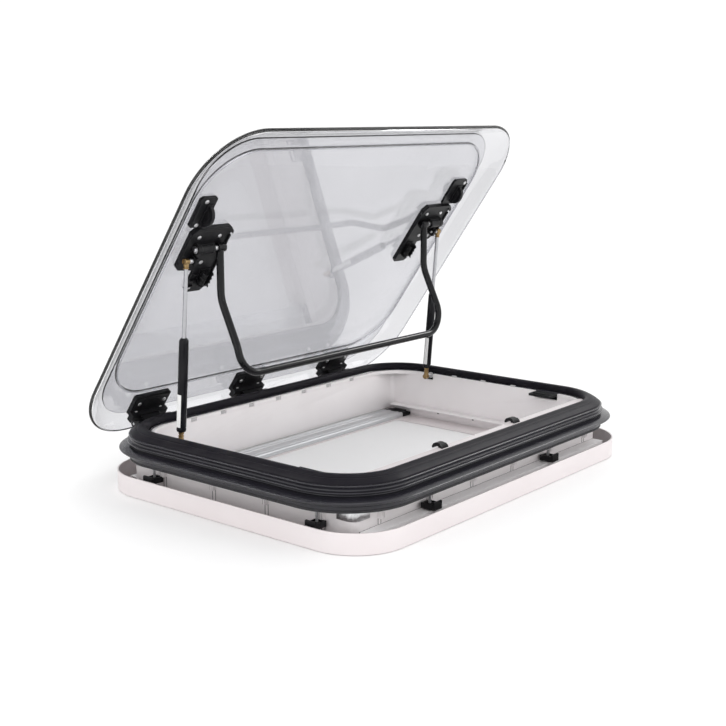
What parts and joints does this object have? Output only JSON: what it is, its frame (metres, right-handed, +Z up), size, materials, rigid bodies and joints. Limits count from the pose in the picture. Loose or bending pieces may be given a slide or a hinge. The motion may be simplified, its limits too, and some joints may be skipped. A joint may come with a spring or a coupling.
{
  "type": "deck_hatch",
  "caption": "Framed roof and deck hatch: hinged double acrylic lid held by gas struts, hanging bail, ribbed white lining with sliding blinds and a ceiling trim.",
  "frame": {"origin": "centre of the ceiling trim's lower face, at the middle of its four screw holes", "axes": "+X along the hinge side, +Y towards the hinges, +Z up through the roof"},
  "size_m": [0.83, 0.633, 0.5972],
  "materials": {
    "black_frame": "satin black extruded plastic",
    "grey_gasket": "dark grey foam rubber",
    "black_rubber": "matte black rubber",
    "white_lining": "satin white moulding",
    "white_trim": "satin warm white moulding",
    "black_plastic": "glass filled black nylon",
    "zinc_steel": "zinc plated",
    "dark_steel": "blackened",
    "anodised_aluminium": "satin anodised",
    "blind_cloth": "pleated coated cloth",
    "screen_mesh": "pleated insect mesh",
    "tinted_acrylic": "clear grey tint",
    "black_coated_tube": "black powder coat",
    "black_enamel": "black enamel",
    "brass": "yellow passivated",
    "polished_steel": "hard chromed rod"
  },
  "bodies": {
    "frame": {"bail_hooks": "black_plastic", "blackout_cloth": "blind_cloth", "blackout_pocket": "white_lining", "blind_rail_left": "white_lining", "blind_rail_right": "white_lining", "catch_receiver_left": "black_plastic", "catch_receiver_right": "black_plastic", "ceiling_trim": "white_trim", "clamp_brackets": "black_plastic", "clamp_screws": "zinc_steel", "corner_brackets": "zinc_steel", "hinge_base_screws": "zinc_steel", "hinge_bases": "black_plastic", "hinge_pins": "zinc_steel", "inner_frame": "white_lining", "lip_seal": "black_rubber", "outer_frame": "black_frame", "rail_screws": "dark_steel", "roof_gasket": "grey_gasket", "screen_cloth": "screen_mesh", "screen_pocket": "white_lining", "snap_clips": "white_lining", "strut_frame_studs": "zinc_steel"},
    "lid": {"bail_clip_left": "black_plastic", "bail_clip_right": "black_plastic", "bracket_screws": "zinc_steel", "catch_screws": "zinc_steel", "hinge_leaf_left": "black_plastic", "hinge_leaf_middle": "black_plastic", "hinge_leaf_right": "black_plastic", "hinge_leaf_screws": "zinc_steel", "lid_ball_stud_left": "zinc_steel", "lid_ball_stud_right": "zinc_steel", "lid_bracket_left": "black_plastic", "lid_bracket_right": "black_plastic", "lid_catch_left": "black_plastic", "lid_catch_right": "black_plastic", "lid_inner_pane": "tinted_acrylic", "lid_outer_dome": "tinted_acrylic"},
    "bail": {"bail_tube": "black_coated_tube", "bail_pivot_pins": "zinc_steel"},
    "blackout_blind": {"blackout_bar": "anodised_aluminium", "blackout_bar_caps": "black_plastic"},
    "screen_blind": {"screen_bar": "anodised_aluminium", "screen_bar_caps": "black_plastic"},
    "strut_tube_left": {"strut_tube_left": "black_enamel", "strut_guide_left": "black_enamel", "strut_lower_socket_left": "brass"},
    "strut_rod_left": {"strut_rod_left": "polished_steel", "strut_piston_left": "polished_steel", "strut_upper_socket_left": "brass"},
    "strut_tube_right": {"strut_tube_right": "black_enamel", "strut_guide_right": "black_enamel", "strut_lower_socket_right": "brass"},
    "strut_rod_right": {"strut_rod_right": "polished_steel", "strut_piston_right": "polished_steel", "strut_upper_socket_right": "brass"}
  },
  "joints": [
    {"name": "lid_hinge", "type": "hinge", "parent": "frame", "child": "lid", "pos_m": [0, 0.31, 0.087], "axis": [1, 0, 0], "range_deg": [0, 55]},
    {"name": "bail_pivot", "type": "hinge", "parent": "lid", "child": "bail", "pos_m": [0, 0.10293, 0.40835], "axis": [1, 0, 0], "range_deg": [-80, 35]},
    {"name": "blackout_slide", "type": "slide", "parent": "frame", "child": "blackout_blind", "axis": [0, -1, 0], "range_m": [0, 0.38]},
    {"name": "screen_slide", "type": "slide", "parent": "frame", "child": "screen_blind", "axis": [0, 1, 0], "range_m": [0, 0.38]},
    {"name": "strut_tilt_left", "type": "hinge", "parent": "frame", "child": "strut_tube_left", "pos_m": [-0.336, 0.14, 0.092], "axis": [1, 0, 0], "range_deg": [0, 82.47]},
    {"name": "strut_slide_left", "type": "slide", "parent": "strut_tube_left", "child": "strut_rod_left", "axis": [0, -0.0831, 0.9965], "range_m": [-0.10888, 0]},
    {"name": "strut_tilt_right", "type": "hinge", "parent": "frame", "child": "strut_tube_right", "pos_m": [0.336, 0.14, 0.092], "axis": [1, 0, 0], "range_deg": [0, 82.47]},
    {"name": "strut_slide_right", "type": "slide", "parent": "strut_tube_right", "child": "strut_rod_right", "axis": [0, -0.0831, 0.9965], "range_m": [-0.10888, 0]}
  ],
  "couplings": [
    {"joint": "strut_tilt_left", "follows": "lid_hinge", "ratio": 1.4993},
    {"joint": "strut_slide_left", "follows": "lid_hinge", "m_per_rad": -0.1134},
    {"joint": "strut_tilt_right", "follows": "lid_hinge", "ratio": 1.4993},
    {"joint": "strut_slide_right", "follows": "lid_hinge", "m_per_rad": -0.1134}
  ]
}
